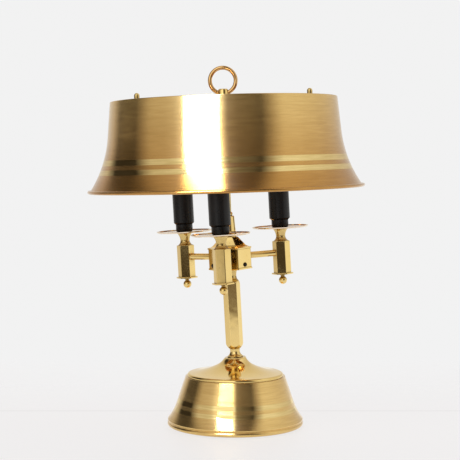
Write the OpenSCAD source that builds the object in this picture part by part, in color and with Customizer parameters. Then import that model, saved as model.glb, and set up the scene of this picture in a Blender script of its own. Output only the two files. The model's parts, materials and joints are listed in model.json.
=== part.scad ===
// Bouillotte table lamp: three candle arms on a turned hexagonal stem, a spun brass
// shade on a sliding centre rod, and a ring finial that holds the shade down.
// Sizes are in millimetres. The lamp stands on z = 0, and x = 0, y = 0 is the centre
// of its foot. The stem and hub lean about the seat of the stem, and the sleeve, rod and
// shade above them stand a little straighter.

/* [Stance] */
// Lean of the stem, hub and arms towards -X, from a bend in the base nipple
stem_lean = 3.1; // [0:0.1:3.2]
// Turn of the sleeve, the rod and what they carry back towards upright
rod_tilt = 0.9; // [0:0.1:1]
// Turn of the shade on its rod, further towards upright
shade_tilt = 0.5; // [0:0.1:0.6]
// Turn of the hub and its arms about the stem
hub_turn = -7.5; // [-30:0.1:30]
// Turn of the hexagonal stem
stem_turn = 4; // [-30:0.5:30]

/* [Base] */
// Height of the drum up to the ledge that carries the cover
drum_h = 70; // [67:0.5:73]
// Radius of the drum at its ledge
drum_top_r = 70.3; // [69.5:0.1:72]
// Slope of the drum's wall from upright
drum_slope = 18.8; // [16:0.2:20]
// Height at which the wall starts to flare
flare_h = 32.5; // [31:0.5:35]
// Radius of the flare's curve
flare_r = 75; // [72:1:80]
// Thickness of the spun brass sheet
sheet = 1.2; // [0.8:0.1:1.4]
// Radius of the rolled edge at the foot
bead_r = 3.2; // [2.8:0.1:3.3]
// Height of the stem's seat on top of the cover
seat_h = 96.5; // [94.5:0.5:98.5]

/* [Stem] */
// Radius over the corners of the hexagonal bar
stem_corner_r = 12.25; // [11.8:0.05:12.5]
// Radius of the turned neck at the foot of the stem
foot_neck_r = 6.9; // [6.6:0.1:7.2]
// Radius of the turned neck under the hub
top_neck_r = 7.75; // [7.2:0.05:8]
// Height of the stem's top face
stem_top = 220.8; // [218.6:0.2:223]

/* [Hub] */
// Radius over the corners of the hub
hub_corner_r = 30; // [29:0.1:31]
// Height of the hub's hexagonal wall
hub_h = 26.4; // [25.5:0.1:28]
// Thickness of the hub's floor plate
floor_t = 2.4; // [2:0.1:3]
// Thickness of the hub's wall
hub_wall = 3; // [2.5:0.1:3.5]
// Height of the concave roof above its eaves
roof_rise = 14.6; // [14:0.1:16]

/* [Arms and columns] */
// Distance from the lamp's axis to each candle column's axis
arm_reach = 80; // [76:0.5:86]
// Radius of each arm tube
arm_r = 4.6; // [4.4:0.1:5]
// Height of the arms' axis
arm_h = 238.4; // [237:0.1:239.5]
// Turn of the front column and its foot plate on their own axis
front_column_turn = -3.7; // [-5:0.1:5]
// Radius over the corners of each candle column
column_corner_r = 12.6; // [12.1:0.1:12.9]
// Height of the foot of each column
column_foot_h = 209.4; // [206:0.5:210.5]
// Height of the top of each column's hexagon
column_hex_top = 254.4; // [252.8:0.1:256]
// Height of the cup on which each drip pan sits
cup_h = 273.6; // [272.8:0.1:274.8]
// Radius of each drip pan
pan_r = 40.5; // [36:0.5:44]

/* [Lampholders] */
// Outer radius of the lampholder's sleeve
holder_r = 14.7; // [14:0.1:15]
// Height of the lampholder above its drip pan
holder_h = 58; // [56:0.5:60]
// Radius of the cap at the foot of the lampholder
cap_r = 12.1; // [11.6:0.1:12.6]
// Radius inside the small screw-base thread shell
socket_r = 7; // [6.9:0.05:7.1]

/* [Sleeve and rod] */
// Radius of the tapered sleeve at its foot
sleeve_foot_r = 10.7; // [10.2:0.1:11]
// Radius of the tapered sleeve at its top
sleeve_top_r = 8.8; // [8.4:0.1:9.2]
// Height of the sleeve's top face
sleeve_top = 296; // [293:0.5:299]
// Radius of the sliding rod
rod_r = 4.95; // [4.9:0.01:4.96]

/* [Shade] */
// Radius of the shade at its top edge
shade_top_r = 158.5; // [156:0.5:162]
// Height of the shade's top face
shade_top = 458.6; // [456:0.2:462]
// Length of the straight part of the shade's side
shade_straight = 48.4; // [46:0.2:50]
// Slope of the straight part from upright
shade_slope = 5.5; // [4.5:0.1:6]
// Radius of the curve that flares the lower part
shade_curve_r = 160; // [155:1:170]
// Slope of the side where it meets the rolled rim
shade_rim_slope = 34.5; // [32:0.5:36]
// Thickness of the shade's sheet
shade_sheet = 1; // [0.8:0.1:1.2]
// Radius of the rolled rim
shade_bead_r = 2.5; // [2.2:0.1:3]
// Radius at which the spider is fastened
stud_reach = 134.5; // [132:0.5:138]

/* [Ring finial] */
// Radius of the ring to the centre of its wire
ring_r = 18; // [17:0.1:19]
// Radius of the ring's wire
ring_wire_r = 2.8; // [2.5:0.05:2.9]
// Height of the ring's centre
ring_h = 485; // [484:0.5:487.5]
// Radius of the boss that holds the ring
boss_r = 7; // [6.8:0.1:7.4]

/* [Hidden] */
$fn = 96;

// One hexagon's face normal to its corner
hex_ratio = cos(30);
// Radial play of a shaft that turns or slides in its hole
play = 0.05;
// Radius of the ten millimetre lamp tube and of its bore
tube_r = 5;
tube_bore_r = 4;
// Height of the felt and the gap that it keeps under the rolled edge
felt_t = 2;
edge_gap = 0.8;
felt_r = 87.6;
drum_ledge_r = 58;
flare_angle = 18.8;
flare_steps = 9;
foot_band_out = 0.7;

// Base weight with its pocket for the nut and its slot for the cord
weight_top = 22;
weight_rim_h = 7;
weight_r = 80;
weight_hole_r = 5.4;
pocket_r = 18;
pocket_top = 15;
washer_t = 1.5;
washer_r = 15;
nut_corner_r = 9.8;
nut_h = 5;
nipple_foot = 7.6;
slot_w = 18;
bushing_h = 26;
bushing_r = 5.2;
bushing_flange_r = 7.5;
bushing_bore_r = 3.6;
bushing_lip = 2.2;
bushing_in = 79;
bushing_out = 91;

// Cover: rim, long flat curve and short steep curve up to its boss
cover_edge_r = 65;
cover_edge_h = drum_h + 4.5;
cover_edge_slope = 5;
cover_mid_slope = 26;
cover_boss_slope = 62;
cover_long_r = 111;
cover_short_r = 25.2;
cover_round_r = 3;
cover_blank = 1.2;
cover_hole_r = 5.4;

// Stem: turned ends that scallop the flats of the bar
stem_foot_flange_r = 11;
stem_foot_arc_r = 8;
stem_foot_arc_h = seat_h + 8.6;
stem_turn_r = 12;
stem_turn_low = seat_h + 21.6;
stem_turn_high = stem_top - 22.7;
stem_low_sweep = 55;
stem_high_sweep = 48;
stem_head_flange_r = 9.3;
stem_head_arc_h = stem_top - 9.7;
stem_head_arc_r = 24;
stem_wire_r = 4.2;
thread_depth = 14;

// Hub heights
floor_bottom = stem_top;
hub_bottom = floor_bottom + floor_t;
hub_top = hub_bottom + hub_h;
eave_t = 2;
eave_corner_r = hub_corner_r + 1.2;
hub_inner_r = hub_corner_r - hub_wall / hex_ratio;
floor_ring_h = 8;
roof_spigot_h = 3;
roof_base = hub_top + eave_t;
roof_top = roof_base + roof_rise;
roof_brim_d = 25.2;
roof_brim_h = 0.5;
roof_low_slope = 10;
roof_side_slope = 52;
roof_curve_r = 9.9;
hub_screw_h = hub_bottom + 4.2;
screw_head_r = 3.1;
screw_head_h = 2.4;
screw_shank_r = 1.5;
screw_shank_l = 6;
hub_nut_h = 4;
hub_nut_corner_r = 8.1;
nipple_head = hub_bottom + hub_nut_h + 2;
block_w = 12;
block_d = 7;
block_h = 9;
block_y = 15;

// Sleeve, collet nut and rod
sleeve_spigot_r = 7;
sleeve_spigot_foot = hub_top - roof_spigot_h - 5;
sleeve_nut_h = 4;
sleeve_nut_corner_r = 10.4;
sleeve_flange_t = 1.2;
sleeve_flange_out = 0.4;
sleeve_bore_r = rod_r + play;
sleeve_neck_r = 5.7;
sleeve_neck_h = 2.6;
collet_r = 6.7;
collet_h = 5;
rod_foot = 244.5;
rod_top = shade_top + 1.8;
rod_bore_r = 3.5;
collar_r = 10;
collar_h = 5;
// Slack above and below the spider's hub
hub_slack = 0.15;

// Shade: spider and its studs
lip_inner_r = 124;
shade_bead_out = 1.2;
shade_steps = 9;
spider_t = 2.4;
spider_w = 12;
spider_hub_r = 14;
spider_hub_h = shade_top - 13.6;
spider_tip = 146;
spider_bend = 122;
stud_r = 2;
bolt_head_r = 3.8;
bolt_head_h = 2.4;
nub_r = 3.7;
nub_h = 9.2;
nub_foot_r = 4.1;
nub_foot_h = 1.2;

// Ring boss
boss_top = ring_h - 11.4;
boss_round_r = 2.4;
boss_foot_r = 9;
boss_foot_h = 3;

// Columns: waist above the hexagon, cup under the pan
waist_r = 6.7;
waist_h = column_hex_top + 7.4;
column_turn_r = column_corner_r - 0.15;
cup_r = 10.4;
waist_low_r = 7.3;
waist_high_r = 15.4;
column_bore_r = 3.5;
column_thread_depth = 13;
plate_t = 2;
plate_corner_r = 15.5;
ball_r = 5.8;
ball_h = column_foot_h - 10.7;
ball_neck_r = 2.7;
ball_collar_r = 3.9;
ball_collar_h = 1.8;
ball_stud_r = 2.5;
ball_stud_l = 9;

// Arms: shouldered ends
arm_bore_r = 2.6;
arm_thread_r = 4;
arm_spigot_l = 5;
arm_nut_h = 4;
arm_nut_corner_r = 6.6;
lead_r = 1.5;
lead_start = 16;
lead_crimp_r = 2.1;

// Drip pan and lampholder
pan_t = 0.8;
pan_lip_h = 2.4;
pan_lip_w = 3;
pan_seat = cup_h + pan_t;
cap_h = 11;
cap_wall = 2;
cap_floor_t = 2.6;
cap_round_r = 2.6;
shoulder_h = 2.2;
holder_top = pan_seat + holder_h;
holder_bore_r = 7.5;
block_cavity_r = 9.4;
block_foot = pan_seat + cap_h + 3;
contact_block_h = 16;
block_well_r = 5;
block_well_d = 3;
shell_top = holder_top - 4;
mouth_r = 9.4;
tongue_w = 4;
tongue_h = 2.4;

// Arms in order: front, right, left
function arm_angle(i) = 270 + hub_turn + 120 * i;

function column_turn(i) = i == 0 ? front_column_turn : 0;

// Points of an arc about [cx, cy], from one angle to another
function arc(cx, cy, r, from, to, steps) =
    [for (k = [0 : steps])
        let (a = from + (to - from) * k / steps)
        [cx + r * cos(a), cy + r * sin(a)]];

function reversed(list) = [for (k = [len(list) - 1 : -1 : 0]) list[k]];

// Places what follows on the leaning axis
module leaned() {
    translate([0, 0, seat_h]) rotate([0, -stem_lean, 0]) translate([0, 0, -seat_h]) children();
}

// Places what follows on the axis of the rod, which is straighter from the roof up
module on_rod() {
    leaned() translate([0, 0, roof_top]) rotate([0, rod_tilt, 0]) translate([0, 0, -roof_top]) children();
}

// Places what follows on the shade's own axis
module on_shade() {
    on_rod() translate([0, 0, spider_hub_h]) rotate([0, shade_tilt, 0])
        translate([0, 0, -spider_hub_h]) children();
}

// Places what follows with +X along an arm
module along_arm(i) {
    leaned() rotate([0, 0, arm_angle(i)]) children();
}

// Places what follows on the axis of a candle column
module at_column(i) {
    along_arm(i) translate([arm_reach, 0, 0]) children();
}

// Upright hexagonal bar with a face towards +X
module hex_bar(corner_r, h) {
    rotate([0, 0, 30]) cylinder(r = corner_r, h = h, $fn = 6);
}

module tube(r, bore, h) {
    difference() {
        cylinder(r = r, h = h);
        translate([0, 0, -1]) cylinder(r = bore, h = h + 2);
    }
}

module hex_nut(corner_r, bore, h) {
    difference() {
        cylinder(r = corner_r, h = h, $fn = 6);
        translate([0, 0, -1]) cylinder(r = bore, h = h + 2);
    }
}

// ---- Base ----

// Side of the drum from its ledge down to the rolled edge, set in by a thickness
function drum_side(inset) =
    let (
        start_r = drum_top_r + (drum_h - flare_h) * tan(drum_slope),
        cx = start_r + flare_r * cos(drum_slope),
        cy = flare_h + flare_r * sin(drum_slope),
        top_r = drum_top_r - inset / cos(drum_slope)
    )
    concat(
        [[top_r, drum_h]],
        arc(cx, cy, flare_r + inset, 180 + drum_slope, 180 + drum_slope + flare_angle, flare_steps)
    );

function drum_foot() = drum_side(0)[flare_steps + 1];

module felt_pad() {
    color("darkolivegreen") cylinder(r = felt_r, h = felt_t);
}

module base_weight() {
    color("dimgray")
    difference() {
        union() {
            translate([0, 0, felt_t]) cylinder(r = weight_r, h = weight_top - felt_t);
            rotate_extrude() intersection() {
                polygon(concat([[0, drum_h]], drum_side(sheet), [[0, 0]]));
                translate([0, weight_top - weight_rim_h]) square([100, weight_rim_h]);
            }
        }
        cylinder(r = pocket_r, h = pocket_top);
        cylinder(r = weight_hole_r, h = weight_top + 1);
        translate([-slot_w / 2, 0, 0]) cube([slot_w, 100, weight_top + 1]);
    }
}

module base_washer() {
    color("silver") translate([0, 0, pocket_top - washer_t]) tube(washer_r, tube_r, washer_t);
}

module base_nut() {
    color("silver")
    translate([0, 0, pocket_top - washer_t - nut_h]) hex_nut(nut_corner_r, tube_r, nut_h);
}

// The nipple is bent at the seat: its two straight lengths meet in a mitre there
module base_nipple() {
    color("goldenrod") {
        intersection() {
            translate([0, 0, nipple_foot]) tube(tube_r, tube_bore_r, seat_h);
            translate([0, 0, seat_h]) rotate([0, -stem_lean / 2, 0])
                translate([-50, -50, -100]) cube([100, 100, 100]);
        }
        intersection() {
            leaned() translate([0, 0, seat_h - thread_depth]) tube(tube_r, tube_bore_r, 2 * thread_depth);
            translate([0, 0, seat_h]) rotate([0, -stem_lean / 2, 0])
                translate([-50, -50, 0]) cube([100, 100, 100]);
        }
    }
}

module base_drum() {
    foot = drum_foot();
    band_r = foot[0] + foot_band_out;
    bead_top = edge_gap + 2 * bead_r;
    color("darkgoldenrod")
    difference() {
        union() {
            rotate_extrude() polygon(concat(
                [[drum_ledge_r, drum_h]],
                drum_side(0),
                [[band_r, foot[1] - 0.9], [band_r, bead_top + 1.2], [band_r - 0.9, bead_top + 0.2],
                 [band_r - 0.9, bead_top - bead_r], [band_r - 0.9 - sheet, bead_top - bead_r],
                 [band_r - 0.9 - sheet, bead_top + 0.5], [band_r - sheet, bead_top + 1.6],
                 [band_r - sheet, foot[1] - 1]],
                reversed([for (p = drum_side(sheet)) if (p[1] < drum_h - sheet) p]),
                [[drum_top_r - (1 - sin(drum_slope)) * sheet / cos(drum_slope), drum_h - sheet],
                 [drum_ledge_r, drum_h - sheet]]
            ));
            rotate_extrude() translate([band_r - bead_r + 0.5, edge_gap + bead_r]) circle(r = bead_r);
        }
        translate([0, 0, bushing_h]) rotate([-90, 0, 0])
            cylinder(r = bushing_r, h = 100);
    }
}

// Ring of a given radius that follows the drum's side at the back
module bushing_flange(r, outer, inner) {
    intersection() {
        rotate_extrude() polygon(concat(drum_side(outer), reversed(drum_side(inner))));
        translate([0, 0, bushing_h]) rotate([-90, 0, 0]) cylinder(r = r, h = 100);
    }
}

module cord_bushing() {
    color("black")
    difference() {
        union() {
            bushing_flange(bushing_flange_r, -bushing_lip, 0);
            bushing_flange(bushing_flange_r, sheet, sheet + bushing_lip);
            translate([0, bushing_in, bushing_h]) rotate([-90, 0, 0])
                cylinder(r = bushing_r, h = bushing_out - bushing_in);
        }
        translate([0, 0, bushing_h]) rotate([-90, 0, 0]) cylinder(r = bushing_bore_r, h = 100);
    }
}

// Outer line of the cover from its boss to the foot of its rim, set in by a thickness
function cover_line(inset) =
    let (
        c1x = cover_edge_r + cover_long_r * sin(cover_edge_slope),
        c1y = cover_edge_h + cover_long_r * cos(cover_edge_slope),
        mx = c1x - cover_long_r * sin(cover_mid_slope),
        my = c1y - cover_long_r * cos(cover_mid_slope),
        c2x = mx + cover_short_r * sin(cover_mid_slope),
        c2y = my + cover_short_r * cos(cover_mid_slope),
        qx = cover_edge_r - cover_round_r * sin(cover_edge_slope),
        qy = cover_edge_h - cover_round_r * cos(cover_edge_slope),
        short = arc(c2x, c2y, cover_short_r + inset, 270 - cover_boss_slope, 270 - cover_mid_slope, 5),
        long = arc(c1x, c1y, cover_long_r + inset, 270 - cover_mid_slope, 270 - cover_edge_slope, 7),
        round = arc(qx, qy, cover_round_r - inset, 90 - cover_edge_slope, 0, 4)
    )
    concat(
        short,
        [for (k = [1 : 7]) long[k]],
        [for (k = [1 : 4]) round[k]],
        [[qx + cover_round_r - inset, drum_h]]
    );

module base_cover() {
    outer = cover_line(0);
    inner = cover_line(sheet);
    color("gold")
    difference() {
        rotate_extrude() polygon(concat(
            [[cover_hole_r, seat_h + cover_blank], [outer[0][0], seat_h + cover_blank]],
            outer,
            reversed(inner),
            [[cover_hole_r, inner[0][1]]]
        ));
        leaned() translate([-50, -50, seat_h]) cube([100, 100, 20]);
    }
}

// ---- Stem ----

module stem() {
    foot_cx = foot_neck_r + stem_foot_arc_r;
    foot_sweep = acos((foot_cx - stem_foot_flange_r) / stem_foot_arc_r);
    head_cx = top_neck_r + stem_head_arc_r;
    head_sweep = acos((head_cx - stem_head_flange_r) / stem_head_arc_r);
    turn_cx = stem_corner_r + 0.15 - stem_turn_r;
    profile = concat(
        [[0, seat_h], [stem_foot_flange_r, seat_h]],
        arc(foot_cx, stem_foot_arc_h, stem_foot_arc_r, 180 + foot_sweep, 180, 8),
        arc(turn_cx, stem_turn_low, stem_turn_r, -stem_low_sweep, 0, 8),
        arc(turn_cx, stem_turn_high, stem_turn_r, 0, stem_high_sweep, 8),
        arc(head_cx, stem_head_arc_h, stem_head_arc_r, 180, 180 - head_sweep, 5),
        [[stem_head_flange_r, stem_top], [0, stem_top]]
    );
    color("goldenrod")
    leaned() difference() {
        intersection() {
            rotate_extrude() polygon(profile);
            rotate([0, 0, stem_turn]) translate([0, 0, seat_h - 1])
                cylinder(r = stem_corner_r, h = stem_top - seat_h + 2, $fn = 6);
        }
        translate([0, 0, seat_h - 1]) cylinder(r = stem_wire_r, h = stem_top - seat_h + 2);
        translate([0, 0, seat_h - 1]) cylinder(r = tube_r, h = thread_depth + 1);
        translate([0, 0, stem_top - thread_depth]) cylinder(r = tube_r, h = thread_depth + 1);
    }
}

// ---- Hub ----

module hub_nipple() {
    foot = stem_top - thread_depth;
    color("goldenrod") leaned() translate([0, 0, foot]) tube(tube_r, tube_bore_r, nipple_head - foot);
}

// Floor plate with an upstanding ring that takes the side screws
module hub_floor() {
    color("goldenrod")
    along_arm(0) difference() {
        union() {
            translate([0, 0, floor_bottom]) hex_bar(hub_corner_r + 1, floor_t);
            translate([0, 0, floor_bottom]) hex_bar(hub_inner_r, floor_t + floor_ring_h);
        }
        translate([0, 0, hub_bottom]) hex_bar(hub_inner_r - hub_wall, floor_ring_h + 1);
        translate([0, 0, floor_bottom - 1]) cylinder(r = tube_r, h = floor_t + 2);
        hub_screw_holes();
    }
}

module hub_nut() {
    color("silver") leaned() translate([0, 0, hub_bottom]) hex_nut(hub_nut_corner_r, tube_r, hub_nut_h);
}

// Bores of the three side screws, on the faces between the arms
module hub_screw_holes() {
    for (i = [0 : 2])
        rotate([0, 0, 60 + 120 * i]) translate([hub_corner_r * hex_ratio - screw_shank_l, 0, hub_screw_h])
            rotate([0, 90, 0]) cylinder(r = screw_shank_r, h = screw_shank_l + 2);
}

module hub_body() {
    color("goldenrod")
    along_arm(0) difference() {
        translate([0, 0, hub_bottom]) hex_bar(hub_corner_r, hub_h);
        translate([0, 0, hub_bottom - 1]) hex_bar(hub_inner_r, hub_h + 2);
        hub_screw_holes();
        for (i = [0 : 2])
            rotate([0, 0, 120 * i]) translate([0, 0, arm_h]) rotate([0, 90, 0])
                cylinder(r = arm_thread_r, h = hub_corner_r + 5);
    }
}

module hub_screws() {
    color("black")
    along_arm(0) for (i = [0 : 2])
        rotate([0, 0, 60 + 120 * i]) translate([hub_corner_r * hex_ratio, 0, hub_screw_h])
            rotate([0, 90, 0]) {
                translate([0, 0, -screw_shank_l]) cylinder(r = screw_shank_r, h = screw_shank_l + 0.1);
                rotate_extrude() polygon(concat(
                    [[0, 0]], arc(0, 0, screw_head_r, 0, 40, 4), [[0, screw_head_h]]
                ));
            }
}

// Half outline of the roof across two faces: eave, brim, curve and straight slope
function roof_side() =
    let (
        cx = roof_brim_d + roof_curve_r * sin(roof_low_slope),
        cy = roof_base + roof_brim_h + roof_curve_r * cos(roof_low_slope),
        curve = arc(cx, cy, roof_curve_r, 270 - roof_low_slope, 270 - roof_side_slope, 7),
        last = curve[7],
        top_d = last[0] - (roof_top - last[1]) / tan(roof_side_slope)
    )
    concat(
        [[eave_corner_r * hex_ratio, hub_top], [eave_corner_r * hex_ratio, roof_base]],
        curve,
        [[top_d, roof_top]]
    );

// One concave tent that runs straight across the hub
module roof_tent() {
    half = roof_side();
    rotate([90, 0, 0]) translate([0, 0, -50]) linear_extrude(100)
        polygon(concat(half, reversed([for (p = half) [-p[0], p[1]]])));
}

// The roof is where three concave tents cross: six hollow faces and six sharp ridges
module hub_roof() {
    color("darkgoldenrod")
    along_arm(0) difference() {
        union() {
            intersection_for(i = [0 : 2]) rotate([0, 0, 60 * i]) roof_tent();
            translate([0, 0, hub_top - roof_spigot_h]) hex_bar(hub_inner_r, roof_spigot_h + 1);
        }
        translate([0, 0, hub_top - roof_spigot_h - 1])
            cylinder(r = sleeve_spigot_r, h = roof_top - hub_top + roof_spigot_h + 2);
    }
}

module terminal_block() {
    color("ivory")
    along_arm(0) rotate([0, 0, 180]) difference() {
        translate([block_y - block_d / 2, -block_w / 2, hub_bottom]) cube([block_d, block_w, block_h]);
        for (side = [-1, 1])
            translate([block_y - block_d, side * block_w / 4, hub_bottom + block_h / 2]) rotate([0, 90, 0])
                cylinder(r = 1.6, h = 2 * block_d);
    }
}

// ---- Sleeve, collet nut and rod ----

// Spigot and flange sit square in the roof, the taper and the bore follow the rod
module sleeve() {
    taper_foot = roof_top + sleeve_flange_t / 2;
    color("goldenrod")
    difference() {
        union() {
            leaned() translate([0, 0, sleeve_spigot_foot])
                cylinder(r = sleeve_spigot_r, h = roof_top + sleeve_flange_t / 2 - sleeve_spigot_foot);
            leaned() translate([0, 0, roof_top])
                cylinder(r = sleeve_foot_r + sleeve_flange_out, h = sleeve_flange_t);
            on_rod() rotate_extrude() polygon([
                [0, taper_foot], [sleeve_foot_r, taper_foot], [sleeve_top_r, sleeve_top - 1],
                [sleeve_top_r - 1, sleeve_top], [sleeve_neck_r, sleeve_top],
                [sleeve_neck_r, sleeve_top + sleeve_neck_h], [0, sleeve_top + sleeve_neck_h]
            ]);
        }
        on_rod() translate([0, 0, sleeve_spigot_foot - 1])
            cylinder(r = sleeve_bore_r, h = sleeve_top + sleeve_neck_h - sleeve_spigot_foot + 2);
    }
}

module sleeve_nut() {
    color("silver")
    leaned() translate([0, 0, hub_top - roof_spigot_h - sleeve_nut_h])
        hex_nut(sleeve_nut_corner_r, sleeve_spigot_r, sleeve_nut_h);
}

// Small barrel-shaped nut that grips the rod at the top of the sleeve
module collet_nut() {
    sag = 0.9;
    color("gold")
    on_rod() translate([0, 0, sleeve_top]) difference() {
        rotate_extrude() polygon([
            [0, 0], [collet_r - sag, 0], [collet_r - sag / 4, collet_h / 5],
            [collet_r, collet_h / 2], [collet_r - sag / 4, collet_h * 4 / 5],
            [collet_r - sag, collet_h], [0, collet_h]
        ]);
        translate([0, 0, -1]) cylinder(r = sleeve_bore_r, h = collet_h + 2);
        translate([0, 0, -1]) cylinder(r = sleeve_neck_r + play, h = sleeve_neck_h + play + 1);
    }
}

module rod() {
    color("gold") on_rod() translate([0, 0, rod_foot]) tube(rod_r, rod_bore_r, rod_top - rod_foot);
}

module rod_collar() {
    color("goldenrod")
    on_rod() translate([0, 0, spider_hub_h - hub_slack - collar_h]) tube(collar_r, rod_r, collar_h);
}

// ---- Arms and candle columns ----

module arm(i) {
    face = hub_corner_r * hex_ratio;
    turn = abs(column_turn(i));
    column_face = arm_reach - (column_corner_r * hex_ratio + arm_r * sin(turn)) / cos(turn);
    thread_start = hub_inner_r * hex_ratio - arm_nut_h - 1;
    color("goldenrod")
    along_arm(i) translate([0, 0, arm_h]) rotate([0, 90, 0]) difference() {
        union() {
            translate([0, 0, thread_start])
                cylinder(r = arm_thread_r, h = column_face + arm_spigot_l - thread_start);
            translate([0, 0, face]) cylinder(r = arm_r, h = column_face - face);
        }
        cylinder(r = arm_bore_r, h = arm_reach);
    }
}

module arm_nuts() {
    color("silver")
    for (i = [0 : 2])
        along_arm(i) translate([hub_inner_r * hex_ratio - arm_nut_h, 0, arm_h]) rotate([0, 90, 0])
            hex_nut(arm_nut_corner_r, arm_thread_r, arm_nut_h);
}

// Insulated leads from the hub through each arm and up each column
module arm_leads() {
    color("red")
    for (i = [0 : 2])
        along_arm(i) {
            translate([lead_start, 0, arm_h]) rotate([0, 90, 0])
                cylinder(r = lead_r, h = arm_reach - lead_start);
            translate([arm_reach, 0, arm_h]) sphere(r = lead_crimp_r);
            translate([arm_reach, 0, arm_h]) cylinder(r = lead_r, h = block_foot - arm_h);
        }
}

// Candle column: hexagonal bar turned to a waist and a cup at the top
module column(i) {
    low_cx = waist_r + waist_low_r;
    low_sweep = acos((low_cx - column_turn_r) / waist_low_r);
    high_cx = waist_r + waist_high_r;
    high_sweep = acos((high_cx - cup_r) / waist_high_r);
    bar_r = column_corner_r + 1;
    color("goldenrod")
    at_column(i) difference() {
        intersection() {
            rotate_extrude() polygon(concat(
                [[0, column_foot_h], [bar_r, column_foot_h], [bar_r, column_hex_top - 0.6],
                 [column_turn_r, column_hex_top]],
                arc(low_cx, waist_h, waist_low_r, 180 + low_sweep, 180, 7),
                [for (k = [1 : 7]) arc(high_cx, waist_h, waist_high_r, 180, 180 - high_sweep, 7)[k]],
                [[cup_r, cup_h], [0, cup_h]]
            ));
            translate([0, 0, column_foot_h - 1]) rotate([0, 0, column_turn(i)])
                hex_bar(column_corner_r, cup_h - column_foot_h + 2);
        }
        translate([0, 0, column_foot_h + ball_stud_l]) cylinder(r = column_bore_r, h = 100);
        translate([0, 0, cup_h - column_thread_depth]) cylinder(r = tube_r, h = 20);
        translate([0, 0, column_foot_h - 1]) cylinder(r = ball_stud_r, h = ball_stud_l + 2);
        translate([-column_corner_r, 0, arm_h]) rotate([0, 90, 0])
            cylinder(r = arm_thread_r, h = column_corner_r);
    }
}

module foot_plate(i) {
    color("darkgoldenrod")
    at_column(i) difference() {
        translate([0, 0, column_foot_h - plate_t]) rotate([0, 0, column_turn(i)])
            hex_bar(plate_corner_r, plate_t);
        translate([0, 0, column_foot_h - plate_t - 1]) cylinder(r = ball_stud_r, h = plate_t + 2);
    }
}

module ball_finial(i) {
    plate_foot = column_foot_h - plate_t;
    color("gold")
    at_column(i) {
        translate([0, 0, ball_h]) sphere(r = ball_r);
        translate([0, 0, ball_h]) cylinder(r = ball_neck_r, h = plate_foot - ball_h);
        translate([0, 0, plate_foot - ball_collar_h]) cylinder(r = ball_collar_r, h = ball_collar_h);
        translate([0, 0, plate_foot - 1]) cylinder(r = ball_stud_r, h = plate_t + ball_stud_l);
    }
}

module drip_pan(i) {
    color("gold")
    at_column(i) rotate_extrude() polygon([
        [tube_r, cup_h], [pan_r - pan_lip_w, cup_h], [pan_r - pan_lip_w / 3, cup_h + pan_lip_h / 3],
        [pan_r, cup_h + pan_lip_h], [pan_r - pan_t, cup_h + pan_lip_h],
        [pan_r - pan_lip_w / 3 - pan_t, cup_h + pan_lip_h / 3 + pan_t * 0.7],
        [pan_r - pan_lip_w - pan_t / 2, pan_seat], [tube_r, pan_seat]
    ]);
}

// ---- Lampholders ----

module holder_nipples() {
    foot = cup_h - column_thread_depth;
    color("silver")
    for (i = [0 : 2])
        at_column(i) translate([0, 0, foot]) tube(tube_r, tube_bore_r, pan_seat + cap_floor_t + 2 - foot);
}

module holder_cap(i) {
    color("#1c1c1c")
    at_column(i) translate([0, 0, pan_seat]) difference() {
        rotate_extrude() polygon(concat(
            [[0, 0]],
            arc(cap_r - cap_round_r, cap_round_r, cap_round_r, 270, 360, 5),
            [[cap_r, cap_h], [0, cap_h]]
        ));
        translate([0, 0, cap_floor_t]) cylinder(r = cap_r - cap_wall, h = cap_h);
        translate([0, 0, -1]) cylinder(r = tube_r, h = cap_h);
    }
}

// Moulded sleeve: shouldered foot, thick wall behind the thread shell, open mouth
module holder_sleeve(i) {
    foot = pan_seat + cap_h;
    block_top = block_foot + contact_block_h;
    color("#1c1c1c")
    at_column(i) rotate_extrude() polygon([
        [block_cavity_r, foot], [cap_r + 0.2, foot], [holder_r, foot + shoulder_h],
        [holder_r, holder_top - 0.8], [holder_r - 0.8, holder_top], [mouth_r, holder_top],
        [holder_bore_r, shell_top], [holder_bore_r, block_top], [block_cavity_r, block_top]
    ]);
}

module contact_block(i) {
    block_top = block_foot + contact_block_h;
    color("ivory")
    at_column(i) {
        difference() {
            translate([0, 0, block_foot]) cylinder(r = block_cavity_r, h = contact_block_h);
            translate([0, 0, block_top - block_well_d]) cylinder(r = block_well_r, h = block_well_d + 1);
        }
        translate([-tongue_w / 2, -tongue_w / 2, block_top - block_well_d - 1])
            cube([tongue_w, tongue_w, tongue_h + 1]);
    }
}

module thread_shell(i) {
    foot = block_foot + contact_block_h;
    color("gold") at_column(i) translate([0, 0, foot]) tube(holder_bore_r, socket_r, shell_top - foot);
}

// ---- Shade ----

// Side of the shade from its top edge to its rolled rim, set in by a thickness
function shade_side(inset) =
    let (
        bend_r = shade_top_r + shade_straight * tan(shade_slope),
        bend_h = shade_top - shade_straight,
        cx = bend_r + shade_curve_r * cos(shade_slope),
        cy = bend_h + shade_curve_r * sin(shade_slope)
    )
    concat(
        [[shade_top_r - inset / cos(shade_slope), shade_top]],
        arc(cx, cy, shade_curve_r + inset, 180 + shade_slope, 180 + shade_rim_slope, shade_steps)
    );

function shade_foot() = shade_side(shade_sheet / 2)[shade_steps + 1];

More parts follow.
